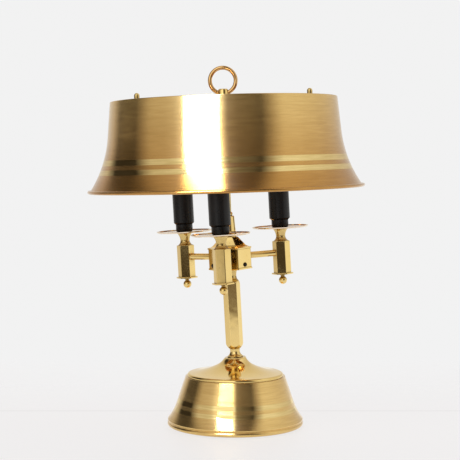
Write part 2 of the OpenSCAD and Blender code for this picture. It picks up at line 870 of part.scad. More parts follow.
module shade() {
    foot = shade_foot();
    color("darkgoldenrod")
    on_shade() difference() {
        union() {
            rotate_extrude() polygon(concat(
                [[lip_inner_r, shade_top]],
                shade_side(0),
                reversed([for (p = shade_side(shade_sheet)) if (p[1] < shade_top - shade_sheet) p]),
                [[shade_top_r - (1 - sin(shade_slope)) * shade_sheet / cos(shade_slope),
                  shade_top - shade_sheet],
                 [lip_inner_r, shade_top - shade_sheet]]
            ));
            rotate_extrude() translate([foot[0] + shade_bead_out, foot[1]]) circle(r = shade_bead_r);
        }
        for (i = [0 : 2])
            rotate([0, 0, 90 + 120 * i]) translate([stud_reach, 0, shade_top - shade_sheet - 1])
                cylinder(r = stud_r, h = shade_sheet + 2);
    }
}

// Three flat arms that rise from the rod to the underside of the shade's lip
module spider() {
    arm_top = shade_top - shade_sheet;
    hub_top_h = spider_hub_h + spider_t;
    color("goldenrod")
    on_shade() difference() {
        union() {
            translate([0, 0, spider_hub_h]) cylinder(r = spider_hub_r, h = spider_t);
            for (i = [0 : 2])
                rotate([0, 0, 90 + 120 * i]) rotate([90, 0, 0])
                    translate([0, 0, -spider_w / 2]) linear_extrude(spider_w) polygon([
                        [6, spider_hub_h], [spider_hub_r + 4, spider_hub_h],
                        [spider_bend, arm_top - spider_t], [spider_tip, arm_top - spider_t],
                        [spider_tip, arm_top], [spider_bend, arm_top],
                        [spider_hub_r + 4, hub_top_h], [6, hub_top_h]
                    ]);
        }
        translate([0, 0, spider_hub_h - 1]) cylinder(r = rod_r + play, h = spider_t + 2);
        for (i = [0 : 2])
            rotate([0, 0, 90 + 120 * i]) translate([stud_reach, 0, arm_top - spider_t - 1])
                cylinder(r = stud_r, h = spider_t + 2);
    }
}

module spider_bolts() {
    head_top = shade_top - shade_sheet - spider_t;
    color("silver")
    on_shade() for (i = [0 : 2])
        rotate([0, 0, 90 + 120 * i]) translate([stud_reach, 0, head_top]) {
            translate([0, 0, -bolt_head_h]) cylinder(r = bolt_head_r, h = bolt_head_h);
            translate([0, 0, -0.5]) cylinder(r = stud_r, h = spider_t + shade_sheet + nub_h / 2 + 0.5);
        }
}

// Domed nuts that show above the shade
module cap_nuts() {
    color("gold")
    on_shade() for (i = [0 : 2])
        rotate([0, 0, 90 + 120 * i]) translate([stud_reach, 0, shade_top]) difference() {
            rotate_extrude() polygon(concat(
                [[0, 0], [nub_foot_r, 0], [nub_foot_r, nub_foot_h], [nub_r, nub_foot_h]],
                arc(0, nub_h - nub_r, nub_r, 0, 90, 6)
            ));
            translate([0, 0, -1]) cylinder(r = stud_r, h = nub_h / 2 + 1);
        }
}

// ---- Ring finial ----

module ring_solid() {
    on_rod() translate([0, 0, ring_h]) rotate([90, 0, 0]) rotate_extrude()
        translate([ring_r, 0]) circle(r = ring_wire_r);
}

module ring_boss() {
    boss_foot = spider_hub_h + spider_t + hub_slack;
    color("gold")
    difference() {
        on_rod() difference() {
            rotate_extrude() polygon(concat(
                [[0, boss_foot], [boss_foot_r, boss_foot], [boss_foot_r, boss_foot + boss_foot_h],
                 [boss_r, boss_foot + boss_foot_h + 2]],
                arc(boss_r - boss_round_r, boss_top - boss_round_r, boss_round_r, 0, 90, 5),
                [[0, boss_top]]
            ));
            translate([0, 0, boss_foot - 1]) cylinder(r = rod_r + play, h = rod_top - boss_foot + 1.2);
        }
        ring_solid();
    }
}

module ring() {
    color("gold") ring_solid();
}

felt_pad();
base_weight();
base_washer();
base_nut();
base_nipple();
base_drum();
cord_bushing();
base_cover();
stem();
hub_nipple();
hub_floor();
hub_nut();
hub_body();
hub_screws();
hub_roof();
terminal_block();
sleeve();
sleeve_nut();
collet_nut();
arm(0);  // arm_front
arm(1);  // arm_right
arm(2);  // arm_left
arm_nuts();
arm_leads();
column(0);  // column_front
column(1);  // column_right
column(2);  // column_left
foot_plate(0);  // foot_plate_front
foot_plate(1);  // foot_plate_right
foot_plate(2);  // foot_plate_left
ball_finial(0);  // ball_finial_front
ball_finial(1);  // ball_finial_right
ball_finial(2);  // ball_finial_left
drip_pan(0);  // drip_pan_front
drip_pan(1);  // drip_pan_right
drip_pan(2);  // drip_pan_left
holder_nipples();
holder_cap(0);  // holder_cap_front
holder_cap(1);  // holder_cap_right
holder_cap(2);  // holder_cap_left
holder_sleeve(0);  // holder_sleeve_front
holder_sleeve(1);  // holder_sleeve_right
holder_sleeve(2);  // holder_sleeve_left
contact_block(0);  // contact_block_front
contact_block(1);  // contact_block_right
contact_block(2);  // contact_block_left
thread_shell(0);  // thread_shell_front
thread_shell(1);  // thread_shell_right
thread_shell(2);  // thread_shell_left
rod();
rod_collar();
shade();
spider();
spider_bolts();
cap_nuts();
ring_boss();
ring();
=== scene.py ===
import json
import math

import bmesh
import bpy
import numpy as np
from mathutils import Matrix


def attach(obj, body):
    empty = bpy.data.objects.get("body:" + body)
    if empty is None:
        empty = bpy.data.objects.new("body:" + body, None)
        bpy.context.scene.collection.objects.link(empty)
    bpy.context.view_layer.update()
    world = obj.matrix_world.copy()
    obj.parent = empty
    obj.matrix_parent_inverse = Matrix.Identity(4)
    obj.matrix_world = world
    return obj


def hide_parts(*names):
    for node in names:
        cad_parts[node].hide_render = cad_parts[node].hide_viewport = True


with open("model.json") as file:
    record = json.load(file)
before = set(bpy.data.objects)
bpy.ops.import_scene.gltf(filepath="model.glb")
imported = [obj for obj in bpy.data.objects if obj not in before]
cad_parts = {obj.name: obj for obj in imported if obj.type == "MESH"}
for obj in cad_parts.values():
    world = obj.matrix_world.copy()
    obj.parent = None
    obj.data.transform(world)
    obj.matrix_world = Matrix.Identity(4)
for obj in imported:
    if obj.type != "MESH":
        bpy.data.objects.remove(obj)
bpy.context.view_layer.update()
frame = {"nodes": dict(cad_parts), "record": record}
print("frame loaded:", len(frame["nodes"]), "nodes")

# The stem leans to the left at its seat; the rod is straighter above the roof, and the shade
# on it straighter still
lamp = {"lean": 3.1, "seat": 96.5, "rodBack": 0.9, "roofTop": 266.2, "shadeBack": 0.5, "spiderFoot": 445.0,
        "hubTurn": -7.5, "stemTurn": 4.0, "armReach": 80.0}
sides = ["front", "right", "left"]


# Camera

camera = {"x": -7.46, "distance": 1851.4, "height": 372.9, "pitch": 3.006, "lens": 103.28}


def makeCamera():
    data = bpy.data.cameras.new("lampCamera")
    data.lens = camera["lens"]
    data.sensor_width = 36.0
    data.clip_start = 0.05
    data.clip_end = 50.0
    eye = bpy.data.objects.new("lampCamera", data)
    eye.location = (camera["x"] / 1000, -camera["distance"] / 1000, camera["height"] / 1000)
    eye.rotation_euler = (math.radians(90 - camera["pitch"]), 0, 0)
    bpy.context.scene.collection.objects.link(eye)
    bpy.context.scene.camera = eye


makeCamera()


# Finishes

def startFinish(name):
    finish = bpy.data.materials.new(name)
    finish.use_nodes = True
    tree = finish.node_tree
    tree.nodes.clear()
    out = tree.nodes.new("ShaderNodeOutputMaterial")
    shader = tree.nodes.new("ShaderNodeBsdfPrincipled")
    tree.links.new(shader.outputs["BSDF"], out.inputs["Surface"])
    return finish, tree, shader


def addNode(tree, kind, inputs=None, **settings):
    node = tree.nodes.new("ShaderNode" + kind)
    for key, value in settings.items():
        setattr(node, key, value)
    for key, value in (inputs or {}).items():
        if isinstance(value, bpy.types.NodeSocket):
            tree.links.new(value, node.inputs[key])
        else:
            node.inputs[key].default_value = value
    return node


def ramp(tree, factor, stops):
    node = addNode(tree, "ValToRGB", {"Fac": factor})
    bar = node.color_ramp
    while len(bar.elements) > 1:
        bar.elements.remove(bar.elements[-1])
    bar.elements[0].position = stops[0][0]
    bar.elements[0].color = (*stops[0][1], 1)
    for place, colour in stops[1:]:
        step = bar.elements.new(place)
        step.color = (*colour, 1)
    return node.outputs["Color"]


def spread(tree, value, low, high, toLow=0.0, toHigh=1.0):
    node = addNode(tree, "MapRange", {"Value": value, "From Min": low, "From Max": high,
                                      "To Min": toLow, "To Max": toHigh})
    return node.outputs["Result"]


def compute(tree, operation, *values):
    return addNode(tree, "Math", dict(enumerate(values)), operation=operation).outputs[0]


def mixed(tree, factor, below, above, how="MIX"):
    node = addNode(tree, "Mix", {"Factor": factor, 6: below, 7: above}, data_type="RGBA", blend_type=how)
    return node.outputs[2]


# Colour that wanders between two tones
def mottled(tree, value, tone, low="dark", high="light", reach=(0.3, 0.7)):
    return ramp(tree, spread(tree, value, *reach), [(0.0, tone[low]), (1.0, tone[high])])


def bumped(tree, shader, height, strength, distance):
    bump = addNode(tree, "Bump", {"Height": height, "Strength": strength, "Distance": distance})
    tree.links.new(bump.outputs["Normal"], shader.inputs["Normal"])


def noise(tree, vector, scale, detail=3.0, roughness=0.5):
    node = addNode(tree, "TexNoise", {"Vector": vector, "Scale": scale, "Detail": detail,
                                      "Roughness": roughness})
    return node.outputs["Fac"]


def place(tree):
    return addNode(tree, "TexCoord").outputs["Object"]


# Noise space drawn out round a turned piece: short across the cut, long along it
def turningSpace(tree, alongPerM, acrossPerMm):
    here = addNode(tree, "SeparateXYZ", {"Vector": place(tree)})
    path = addNode(tree, "SeparateXYZ", {"Vector": addNode(tree, "UVMap", uv_map="turning").outputs["UV"]})
    x = compute(tree, "MULTIPLY", here.outputs["X"], alongPerM)
    y = compute(tree, "MULTIPLY", here.outputs["Y"], alongPerM)
    v = compute(tree, "MULTIPLY", path.outputs["Y"], acrossPerMm * 1000)
    return addNode(tree, "CombineXYZ", {"X": x, "Y": y, "Z": v}).outputs[0]


spunFinish = {
    "light": (0.86, 0.600, 0.225),
    "dark": (0.68, 0.445, 0.145),
    "lines": (14.0, 1.15),  # brush lines: waves per metre along them, per mm across
    "streaks": (34.0, 0.34),
    "clouds": 11.0,
    "colourReach": (1.1, 1.9),  # of lines, streaks and clouds added up
    "roughReach": (1.0, 2.0),
    "lineBump": 0.10,
    "lineHeight": 0.0002,
    "rough": (0.16, 0.23),
    "anisotropic": 1.0,
    "acrossTheLines": 0.25,  # quarter turn
    "metal": 0.98,
    "coat": 0.5,
    "coatRough": 0.26,
    "speck": (0.16, 0.085, 0.03),
    "specksPerM": 42.0,
    "speckPick": (0.925, 0.955),
    "speckEdge": (0.060, 0.028),
    "rimTint": (0.72, 0.55, 0.35),  # share of its colour left at the rim
    "rimTintOver": (10.0, 11.0),  # metres down the side; here that is past its end
}
# the shade's colour darkens and browns towards its rim, the base's does not
shadeFinish = dict(spunFinish, rimTintOver=(0.040, 0.150))


# Brass scratch-brushed while it turned on the lathe
def brushedBrass(name, tone):
    finish, tree, shader = startFinish(name)
    lines = noise(tree, turningSpace(tree, *tone["lines"]), 1.0, detail=4.0, roughness=0.62)
    streaks = noise(tree, turningSpace(tree, *tone["streaks"]), 1.0, detail=3.0, roughness=0.55)
    clouds = noise(tree, place(tree), tone["clouds"])
    grain = compute(tree, "ADD", compute(tree, "ADD", lines, streaks), clouds)
    colour = mottled(tree, grain, tone, reach=tone["colourReach"])
    spots = addNode(tree, "TexVoronoi", {"Vector": place(tree), "Scale": tone["specksPerM"]})
    pick = addNode(tree, "SeparateColor", {"Color": spots.outputs["Color"]})
    rare = spread(tree, pick.outputs["Red"], *tone["speckPick"])
    edge, core = tone["speckEdge"]
    near = spread(tree, spots.outputs["Distance"], core, edge, 1.0, 0.0)
    colour = mixed(tree, compute(tree, "MULTIPLY", rare, near), colour, (*tone["speck"], 1))
    # the colour darkens and browns down the side towards the rim
    way = addNode(tree, "SeparateXYZ", {"Vector": addNode(tree, "UVMap", uv_map="turning").outputs["UV"]})
    rimShare = spread(tree, way.outputs["Y"], *tone["rimTintOver"])
    colour = mixed(tree, rimShare, colour, (*tone["rimTint"], 1), "MULTIPLY")
    tree.links.new(colour, shader.inputs["Base Color"])
    dullness = spread(tree, grain, *tone["roughReach"], *tone["rough"])
    tree.links.new(dullness, shader.inputs["Roughness"])
    shader.inputs["Metallic"].default_value = tone["metal"]
    shader.inputs["Coat Weight"].default_value = tone["coat"]
    shader.inputs["Coat Roughness"].default_value = tone["coatRough"]
    shader.inputs["Anisotropic"].default_value = tone["anisotropic"]
    shader.inputs["Anisotropic Rotation"].default_value = tone["acrossTheLines"]
    around = addNode(tree, "Tangent", direction_type="UV_MAP", uv_map="turning")
    tree.links.new(around.outputs["Tangent"], shader.inputs["Tangent"])
    bumped(tree, shader, lines, tone["lineBump"], tone["lineHeight"])
    return finish


bandFinish = {"light": (0.91, 0.71, 0.32), "dark": (0.78, 0.59, 0.24), "rough": (0.06, 0.12),
              "smears": (30.0, 0.5), "smearReach": (0.35, 0.65), "waves": 38.0, "waveBump": 0.12,
              "waveHeight": 0.002}

mirrorFinish = {
    "light": (0.95, 0.715, 0.295),
    "dark": (0.90, 0.650, 0.240),
    "clouds": 26.0,
    "rough": (0.045, 0.12),
    "waves": 60.0,
    "waveBump": 0.18,
    "waveHeight": 0.0006,
    "spot": (0.42, 0.22, 0.07),
    "spotsPerM": 420.0,
    "spotPick": (0.70, 0.76),
    "spotted": 0.7,
    "cornerShade": (0.26, 0.20, 0.13),  # painted shade: share of the colour left in narrow corners
    "cornerShadeReach": 0.030,
    "cornerShadeEdge": (0.45, 0.85),  # how open a place is where the painted shade is darkest and where it ends
}
# painted shade: the hub's three walls behind the columns are darkened
hubFinish = dict(mirrorFinish, wallShade=(0.30, 0.32, 0.36), wallShadeEdge=(0.02, 0.20), axisX=-0.0075)
# the pans are painted paler for the white they reflect when seen edgewise; the ring is browner and duller
panFinish = dict(mirrorFinish, light=(0.93, 0.79, 0.62), dark=(0.88, 0.73, 0.55), waveBump=0.05,
                 spotted=0.2)
ringFinish = dict(mirrorFinish, light=(0.92, 0.60, 0.27), dark=(0.74, 0.44, 0.17), rough=(0.13, 0.18),
                  waveBump=0.0, spotted=0.0)


# Narrow bands left bright in the brushed side, a little wavy
def brightBand(name, tone):
    finish, tree, shader = startFinish(name)
    smear = noise(tree, turningSpace(tree, *tone["smears"]), 1.0)
    tree.links.new(mottled(tree, smear, tone, reach=tone["smearReach"]), shader.inputs["Base Color"])
    tree.links.new(spread(tree, smear, 0.3, 0.7, *tone["rough"]), shader.inputs["Roughness"])
    shader.inputs["Metallic"].default_value = 1.0
    waves = noise(tree, place(tree), tone["waves"], detail=1.5, roughness=0.4)
    bumped(tree, shader, waves, tone["waveBump"], tone["waveHeight"])
    return finish


# Painted shade: darkens the three walls that the arms stand on
def shadedWalls(tree, colour, tone):
    here = addNode(tree, "SeparateXYZ", {"Vector": place(tree)})
    across = compute(tree, "SUBTRACT", here.outputs["X"], tone["axisX"])
    compass = compute(tree, "ARCTAN2", here.outputs["Y"], across)
    fromArm = compute(tree, "SUBTRACT", compass, math.radians(270 + lamp["hubTurn"]))
    facing = compute(tree, "COSINE", compute(tree, "MULTIPLY", fromArm, 3.0))
    wallShadeShare = spread(tree, facing, *tone["wallShadeEdge"])
    return mixed(tree, wallShadeShare, colour, (*tone["wallShade"], 1), "MULTIPLY")


# Lacquered bright brass, hand polished, with a few brown spots and painted shade in narrow corners
def mirrorBrass(name, tone):
    finish, tree, shader = startFinish(name)
    clouds = noise(tree, place(tree), tone["clouds"], detail=4.0, roughness=0.6)
    colour = mottled(tree, clouds, tone)
    grit = noise(tree, place(tree), tone["spotsPerM"], detail=2.0)
    spots = spread(tree, grit, *tone["spotPick"], 0.0, tone["spotted"])
    colour = mixed(tree, spots, colour, (*tone["spot"], 1))
    # painted shade: ambient occlusion darkens the colour in narrow corners
    occlusion = addNode(tree, "AmbientOcclusion", {"Distance": tone["cornerShadeReach"]}, samples=6)
    deep = spread(tree, occlusion.outputs["AO"], *tone["cornerShadeEdge"], 1.0, 0.0)
    colour = mixed(tree, deep, colour, (*tone["cornerShade"], 1), "MULTIPLY")
    # painted shade on the hub's walls behind the columns
    if "wallShade" in tone:
        colour = shadedWalls(tree, colour, tone)
    tree.links.new(colour, shader.inputs["Base Color"])
    tree.links.new(spread(tree, clouds, 0.3, 0.7, *tone["rough"]), shader.inputs["Roughness"])
    shader.inputs["Metallic"].default_value = 1.0
    waves = noise(tree, place(tree), tone["waves"], detail=1.0, roughness=0.4)
    bumped(tree, shader, waves, tone["waveBump"], tone["waveHeight"])
    return finish


plainTones = {
    "holderBlack": {"low": (0.010, 0.010, 0.011), "high": (0.014, 0.0135, 0.014), "metal": 0.0,
                    "rough": (0.26, 0.30), "grain": 60.0, "bump": 0.01, "gloss": 0.32},
    "screwBlack": {"low": (0.010, 0.009, 0.008), "high": (0.035, 0.028, 0.022), "metal": 0.6,
                   "rough": (0.30, 0.50), "grain": 300.0, "bump": 0.15},
    "feltGreen": {"low": (0.012, 0.035, 0.018), "high": (0.03, 0.075, 0.04), "metal": 0.0,
                  "rough": (0.90, 1.0), "grain": 900.0, "bump": 0.8},
    "ironGrey": {"low": (0.05, 0.045, 0.04), "high": (0.12, 0.11, 0.10), "metal": 0.7,
                 "rough": (0.55, 0.75), "grain": 240.0, "bump": 0.5},
    "zincSteel": {"low": (0.50, 0.50, 0.49), "high": (0.68, 0.68, 0.66), "metal": 1.0,
                  "rough": (0.25, 0.42), "grain": 180.0, "bump": 0.1},
    "grommetRubber": {"low": (0.012, 0.012, 0.012), "high": (0.03, 0.03, 0.03), "metal": 0.0,
                      "rough": (0.55, 0.75), "grain": 400.0, "bump": 0.2},
    "ceramicWhite": {"low": (0.66, 0.64, 0.58), "high": (0.80, 0.78, 0.73), "metal": 0.0,
                     "rough": (0.22, 0.35), "grain": 120.0, "bump": 0.1},
    "leadPlastic": {"low": (0.60, 0.58, 0.52), "high": (0.75, 0.73, 0.68), "metal": 0.0,
                    "rough": (0.35, 0.5), "grain": 200.0, "bump": 0.1},
    "shellBrass": {"low": (0.55, 0.40, 0.18), "high": (0.80, 0.60, 0.28), "metal": 1.0,
                   "rough": (0.25, 0.45), "grain": 150.0, "bump": 0.1},
}
grainHeight = 0.0003  # metres, in every plain finish


def plainFinish(name, tone):
    finish, tree, shader = startFinish(name)
    grain = noise(tree, place(tree), tone["grain"], detail=4.0, roughness=0.6)
    tree.links.new(mottled(tree, grain, tone, "low", "high"), shader.inputs["Base Color"])
    tree.links.new(spread(tree, grain, 0.3, 0.7, *tone["rough"]), shader.inputs["Roughness"])
    shader.inputs["Metallic"].default_value = tone["metal"]
    shader.inputs["Specular IOR Level"].default_value = tone.get("gloss", 0.5)
    bumped(tree, shader, grain, tone["bump"], grainHeight)
    return finish


finishes = {name: plainFinish(name, tone) for name, tone in plainTones.items()}
for name, tone in {"spunBrass": spunFinish, "shadeBrass": shadeFinish}.items():
    finishes[name] = brushedBrass(name, tone)
finishes["bandBrass"] = brightBand("bandBrass", bandFinish)
mirrorTones = {"mirrorBrass": mirrorFinish, "hubBrass": hubFinish, "panBrass": panFinish,
               "ringBrass": ringFinish}
for name, tone in mirrorTones.items():
    finishes[name] = mirrorBrass(name, tone)
print("finishes made:", len(finishes))


# Shapes: every piece is a grid of points, rows along its outline and columns round it

def tiltedAt(height, degrees):
    turn = Matrix.Rotation(math.radians(degrees), 4, "Y")
    return Matrix.Translation((0, 0, height)) @ turn @ Matrix.Translation((0, 0, -height))


upright = Matrix.Identity(4)
leaned = tiltedAt(lamp["seat"], -lamp["lean"])
onRod = leaned @ tiltedAt(lamp["roofTop"], lamp["rodBack"])
onShade = onRod @ tiltedAt(lamp["spiderFoot"], lamp["shadeBack"])


def armAngle(i):
    return 270 + lamp["hubTurn"] + 120 * i


def alongArm(i):
    return leaned @ Matrix.Rotation(math.radians(armAngle(i)), 4, "Z")


def atColumn(i):
    return alongArm(i) @ Matrix.Translation((lamp["armReach"], 0, 0))


def arc(cx, cz, radius, start, end, steps):
    turns = np.radians(np.linspace(start, end, steps + 1))
    return [(cx + radius * math.cos(a), cz + radius * math.sin(a)) for a in turns]


# Rounds the corners of an outline: most is the share of a side that a rounding may take, and
# hold places the row beside it that keeps the flat there flat
def softened(points, radius=0.3, steps=3, least=24, most=0.42, hold=1.15):
    pts = [np.array(p, float) for p in points]
    out = [pts[0]]
    for before, here, after in zip(pts, pts[1:], pts[2:]):
        back, ahead = before - here, after - here
        backLong, aheadLong = np.linalg.norm(back), np.linalg.norm(ahead)
        if backLong < 1e-6 or aheadLong < 1e-6:
            continue
        back, ahead = back / backLong, ahead / aheadLong
        bend = math.degrees(math.acos(float(np.clip(-(back @ ahead), -1, 1))))
        if bend < least:  # too slight for a corner
            out.append(here)
            continue
        half = math.radians(180 - bend) / 2
        cut = min(radius / math.tan(half), most * backLong, most * aheadLong)
        out.append(here + back * cut * hold)
        start, end = here + back * cut, here + ahead * cut
        for k in range(steps + 1):
            t = k / steps
            out.append((1 - t) ** 2 * start + 2 * t * (1 - t) * here + t * t * end)
        out.append(here + ahead * cut * hold)
    out.append(pts[-1])
    return [tuple(p) for p in out]


def turnedGrid(outline, around=128):
    turns = np.arange(around) / around * 2 * math.pi
    r = np.array([p[0] for p in outline])[:, None]
    z = np.array([p[1] for p in outline])[:, None]
    return np.stack([r * np.cos(turns), r * np.sin(turns), z + 0 * turns], axis=2)


# Six flats crossed with a turned outline; rows are (flat distance, turned radius, height)
def hexGrid(rows, cornerAt=30.0, perSide=14, crisp=90):
    share = (1 - np.cos(np.pi * np.arange(perSide) / perSide)) / 2
    turns = np.radians(np.concatenate([cornerAt + 60 * (k + share) for k in range(6)]))
    flats = np.radians(cornerAt + 30 + 60 * np.arange(6))
    facing = np.clip(np.cos(turns[:, None] - flats[None, :]), 0, None)
    grid = []
    for flat, turned, z in rows:
        if flat < 1e-6 or turned < 1e-6:
            grid.append(np.tile([0.0, 0.0, z], (len(turns), 1)))
            continue
        biggest = max(1 / flat, 1 / turned)
        total = ((facing / flat / biggest) ** crisp).sum(1) + (1 / turned / biggest) ** crisp
        r = 1 / (biggest * total ** (1 / crisp))
        grid.append(np.stack([r * np.cos(turns), r * np.sin(turns), np.full(len(turns), z)], axis=1))
    return np.array(grid)


# Makes one object from one or more grids
def buildPiece(name, grids, finishNames, where=None, body="lamp", nodes=(), rowFinish=None,
               closed=False, sharp=38):
    points, faces, uvs, marks = [], [], [], []
    if not isinstance(grids, list):
        grids = [grids]
    places = where if isinstance(where, list) else [where or leaned] * len(grids)
    for grid, matrix in zip(grids, places):
        m = np.array(matrix)
        rows, cols = grid.shape[:2]
        world = grid.reshape(-1, 3) @ m[:3, :3].T + m[:3, 3]
        steps = np.linalg.norm(np.diff(grid, axis=0), axis=2).mean(1)
        along = np.concatenate([[0.0], np.cumsum(steps)]) / 1000
        index = np.empty((rows, cols), int)
        for i in range(rows):
            if np.ptp(grid[i], axis=0).max() < 1e-6:
                index[i] = len(points)
                points.append(world[i * cols] / 1000)
            else:
                index[i] = len(points) + np.arange(cols)
                points.extend(world[i * cols:(i + 1) * cols] / 1000)
        last = rows if closed else rows - 1
        for i in range(last):
            below = (i + 1) % rows
            v0, v1 = along[i], (along[i + 1] if i + 1 < rows else along[i] + 0.001)
            for j in range(cols):
                k = (j + 1) % cols
                u0, u1 = j / cols, (j + 1) / cols
                ring = [(index[i, j], u0, v0), (index[i, k], u1, v0),
                        (index[below, k], u1, v1), (index[below, j], u0, v1)]
                kept = []
                for corner in ring:
                    if corner[0] not in [c[0] for c in kept]:
                        kept.append(corner)
                if len(kept) < 3:
                    continue
                faces.append([int(c[0]) for c in kept])
                uvs.extend([(c[1], c[2]) for c in kept])
                marks.append(rowFinish[i] if rowFinish else 0)
    mesh = bpy.data.meshes.new(name)
    mesh.from_pydata([tuple(p) for p in points], [], faces)
    layer = mesh.uv_layers.new(name="turning")
    layer.data.foreach_set("uv", np.array(uvs, np.float32).ravel())
    for finishName in finishNames:
        mesh.materials.append(finishes[finishName])
    mesh.polygons.foreach_set("material_index", np.array(marks, np.int32))
    work = bmesh.new()
    work.from_mesh(mesh)
    bmesh.ops.recalc_face_normals(work, faces=work.faces)
    work.to_mesh(mesh)
    work.free()
    mesh.shade_smooth()
    mesh.set_sharp_from_angle(angle=math.radians(sharp))
    piece = bpy.data.objects.new(name, mesh)
    bpy.context.scene.collection.objects.link(piece)
    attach(piece, body)
    if nodes:
        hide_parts(*nodes)
    return piece


# Base drum

drum = {
    "topRadius": 70.3, "topHeight": 70.0, "topRound": 0.9, "flareFrom": (83.07, 32.5),
    "flareCentre": (154.07, 56.67), "flareRadius": 75.0, "flareAngles": (18.8, 37.6),
    "band": (95.35, 10.0, 8.4), "groove": (94.45, 7.4), "bead": (92.65, 4.0, 3.2),
    "ledgeRadius": 58.0, "sheet": 1.2,
    "brightFrom": [(30.7, 37.2), (42.5, 48.8)],  # two bands, mm down the side from the top edge
}


def flare(centre, radius, start, end, steps):
    turns = np.radians(np.linspace(start, end, steps + 1))
    return [(centre[0] - radius * math.cos(a), centre[1] - radius * math.sin(a)) for a in turns]


# Cuts an outline so that a row falls on each edge of the bright bands
def withBands(outline, startIndex, endIndex, bands):
    side = [np.array(p) for p in outline[startIndex:endIndex + 1]]
    lengths = np.concatenate([[0], np.cumsum([np.linalg.norm(b - a) for a, b in zip(side, side[1:])])])
    stations = sorted(set(list(lengths) + [s for band in bands for s in band]))
    r = np.interp(stations, lengths, [p[0] for p in side])
    z = np.interp(stations, lengths, [p[1] for p in side])
    middle = [tuple(p) for p in zip(r, z)]
    out = list(outline[:startIndex]) + middle + list(outline[endIndex + 1:])
    marks = [0] * len(out)
    for k in range(len(stations) - 1):
        centre = (stations[k] + stations[k + 1]) / 2
        if any(low < centre < high for low, high in bands):
            marks[startIndex + k] = 1
    return out, marks


def makeDrum():
    d = drum
    top = softened([(d["ledgeRadius"], d["topHeight"] - d["sheet"]), (d["ledgeRadius"], d["topHeight"]),
                    (d["topRadius"], d["topHeight"]), d["flareFrom"]], d["topRound"], 5)
    first = len(top) - 2
    side = flare(d["flareCentre"], d["flareRadius"], *d["flareAngles"], 24)
    bandR, bandTop, bandLow = d["band"]
    foot = softened([side[-1], (bandR, bandTop), (bandR, bandLow), d["groove"]], 0.4, 3, 12)
    beadR, beadZ, beadSize = d["bead"]
    roll = arc(beadR, beadZ, beadSize, 56, -170, 22)
    inset = d["sheet"]
    inner = [(r - inset, z) for r, z in reversed(side)][2:]
    inner.append((d["topRadius"] - inset, d["topHeight"] - inset))
    outline = top[:-1] + side + foot[1:] + roll + inner
    outline, marks = withBands(outline, first, first + 1 + len(side), d["brightFrom"])
    return buildPiece("baseDrum", turnedGrid(outline, 224), ["spunBrass", "bandBrass"], upright, "lamp",
                      ["base_drum"], marks, closed=True)


brushedPieces = [makeDrum()]

# Cover of the base

cover = {
    "bossRadius": 14.81, "bossHeight": 96.5, "neckArc": (37.06, 107.96, 25.2, 62.0, 26.0),
    "longArc": (74.67, 185.08, 111.0, 26.0, 5.0), "edge": (64.74, 71.51, 3.0), "foot": (67.74, 70.0),
    "sheet": 1.2, "bossCut": 3.2,
}


def makeCover():
    c = cover
    r, z = c["bossRadius"], c["bossHeight"]
    crown = softened([(0.01, z), (r, z), (r, z - 1.0)], 0.35, 4)
    nx, nz, nr, n0, n1 = c["neckArc"]
    lx, lz, lr, l0, l1 = c["longArc"]
    hollow = [(nx - nr * math.sin(math.radians(s)), nz - nr * math.cos(math.radians(s)))
              for s in np.linspace(n0, n1, 18)]
    dish = [(lx - lr * math.sin(math.radians(s)), lz - lr * math.cos(math.radians(s)))
            for s in np.linspace(l0, l1, 18)][1:]
    ex, ez, er = c["edge"]
    rim = arc(ex, ez, er, 85, 0, 8)
    footR, footZ = c["foot"]
    outline = crown + hollow[1:] + dish + rim[1:]
    outline += [(footR, footZ), (footR - c["sheet"], footZ), (0.01, footZ - 0.1)]
    grid = turnedGrid(outline, 192)
    # the boss is cut off square to the leaning stem
    tilt = math.tan(math.radians(lamp["lean"]))
    share = np.clip((grid[:, :, 2] - (z - c["bossCut"])) / c["bossCut"], 0, 1)
    grid[:, :, 2] += share * grid[:, :, 0] * tilt
    buildPiece("baseCover", grid, ["mirrorBrass"], upright, "lamp", ["base_cover"])


makeCover()
print("base made")

# Stem: hexagonal bar turned down to a neck at each end

stem = {
    "corner": 12.25, "foot": 96.5, "top": 220.8, "footFlange": 11.0, "footArc": (14.9, 105.1, 8.0),
    "lowShoulder": (0.4, 118.1, 12.0, -55.0), "highShoulder": (0.4, 198.1, 12.0, 48.0),
    "headArc": (31.75, 211.1, 24.0), "headFlange": 9.3, "edge": 0.3,
}
flatShare = math.cos(math.radians(30))


def makeStem():
    s = stem
    fx, fz, fr = s["footArc"]
    hx, hz, hr = s["headArc"]
    footSweep = math.degrees(math.acos((fx - s["footFlange"]) / fr))
    headSweep = math.degrees(math.acos((hx - s["headFlange"]) / hr))
    lx, lz, lr, lowSweep = s["lowShoulder"]
    ux, uz, ur, highSweep = s["highShoulder"]
    foot, top, edge = s["foot"], s["top"], s["edge"]
    turned = [(0.0, foot), (s["footFlange"] - edge, foot), (s["footFlange"], foot + edge)]
    turned += arc(fx, fz, fr, 180 + footSweep, 180, 22)
    turned += arc(lx, lz, lr, lowSweep, 0, 30)
    turned += [(lx + lr + 1, z) for z in np.linspace(lz + 2, uz - 2, 10)]
    turned += arc(ux, uz, ur, 0, highSweep, 30)
    turned += arc(hx, hz, hr, 180, 180 - headSweep, 20)
    turned += [(s["headFlange"], top - edge), (s["headFlange"] - edge, top), (0.0, top)]
    flat = s["corner"] * flatShare
    rows = [(flat if r > 0 else 0.0, r, z) for r, z in turned]
    grid = hexGrid(rows, lamp["stemTurn"], 18, 110)
    buildPiece("stem", grid, ["mirrorBrass"], leaned, "lamp", ["stem"])


makeStem()

# Hub

